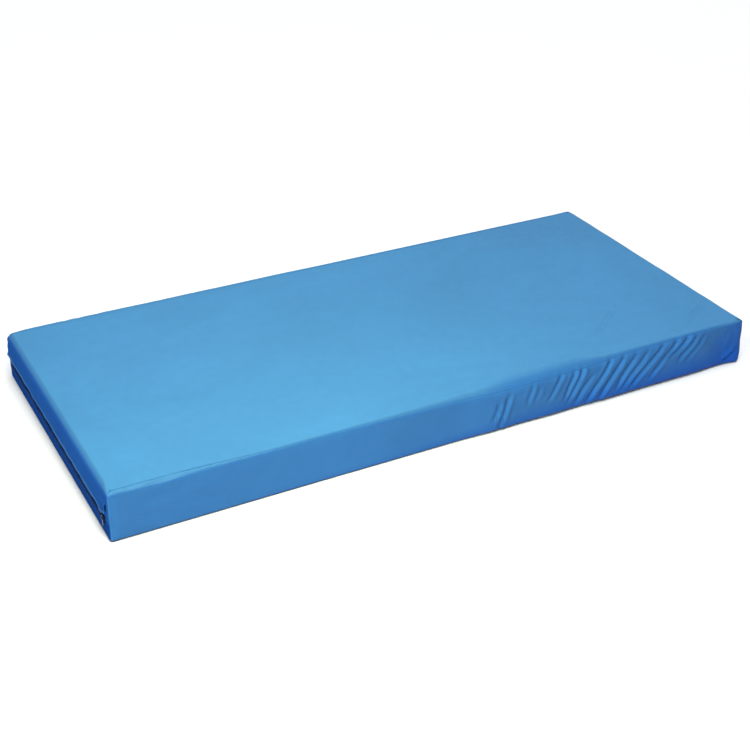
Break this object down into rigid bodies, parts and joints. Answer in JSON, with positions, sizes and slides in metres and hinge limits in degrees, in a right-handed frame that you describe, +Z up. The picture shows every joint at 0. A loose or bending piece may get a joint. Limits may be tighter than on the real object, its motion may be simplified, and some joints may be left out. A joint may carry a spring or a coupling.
{
  "type": "pressure relief mattress",
  "caption": "Flat foam hospital mattress with zoned castellated foam inside a zipped, coated-fabric cover whose zip runs across the foot end below a hanging flap.",
  "frame": {"origin": "centre of the underside, on the face that rests on the bed platform", "axes": "+X along the length towards the head end, +Y across the width, +Z up; the zip end faces -X"},
  "size_m": [1.9566, 0.88, 0.14],
  "materials": {
    "top_fabric": "polyurethane-coated knit, light blue, soft sheen",
    "border_fabric": "polyurethane-coated knit, mid blue, soft sheen",
    "base_fabric": "coated nylon, dark blue, fine weave",
    "flap_fabric": "polyurethane-coated knit, mid blue, doubled and stitched",
    "zip_tape_fabric": "woven polyester tape, navy",
    "zip_coil": "nylon, navy",
    "zip_metal": "die casting, navy enamel",
    "firm_foam": "open-cell firm foam, off-white",
    "soft_foam": "open-cell soft foam, pale yellow"
  },
  "bodies": {
    "mattress": {"top_panel": "top_fabric", "side_border_near": "border_fabric", "side_border_far": "border_fabric", "zip_end_lower_border": "border_fabric", "base_panel": "base_fabric", "flap_seam_strip": "flap_fabric", "zip_tape_upper": "zip_tape_fabric", "zip_tape_lower": "zip_tape_fabric", "zip_teeth_upper": "zip_coil", "zip_teeth_lower": "zip_coil", "zip_top_stops": "zip_metal", "zip_bottom_stop": "zip_metal", "core_rail_near": "firm_foam", "core_rail_far": "firm_foam", "core_base_layer": "firm_foam", "core_heel_zone": "soft_foam", "core_torso_zone": "soft_foam", "core_head_zone": "soft_foam"},
    "flap": {"zip_flap": "flap_fabric", "flap_edge_binding": "flap_fabric"},
    "slider": {"zip_slider": "zip_metal", "slider_bridge": "zip_metal"},
    "puller": {"zip_puller": "zip_metal"}
  },
  "joints": [
    {"name": "flap_lift", "type": "hinge", "parent": "mattress", "child": "flap", "pos_m": [-0.9771, 0, 0.114], "axis": [0, 1, 0], "range_deg": [0, 160]},
    {"name": "slider_travel", "type": "slide", "parent": "mattress", "child": "slider", "axis": [0, 1, 0], "range_m": [0, 0.8]},
    {"name": "puller_swing", "type": "hinge", "parent": "slider", "child": "puller", "pos_m": [-0.979, -0.4022, 0.05], "axis": [1, 0, 0], "range_deg": [-100, 45]}
  ]
}
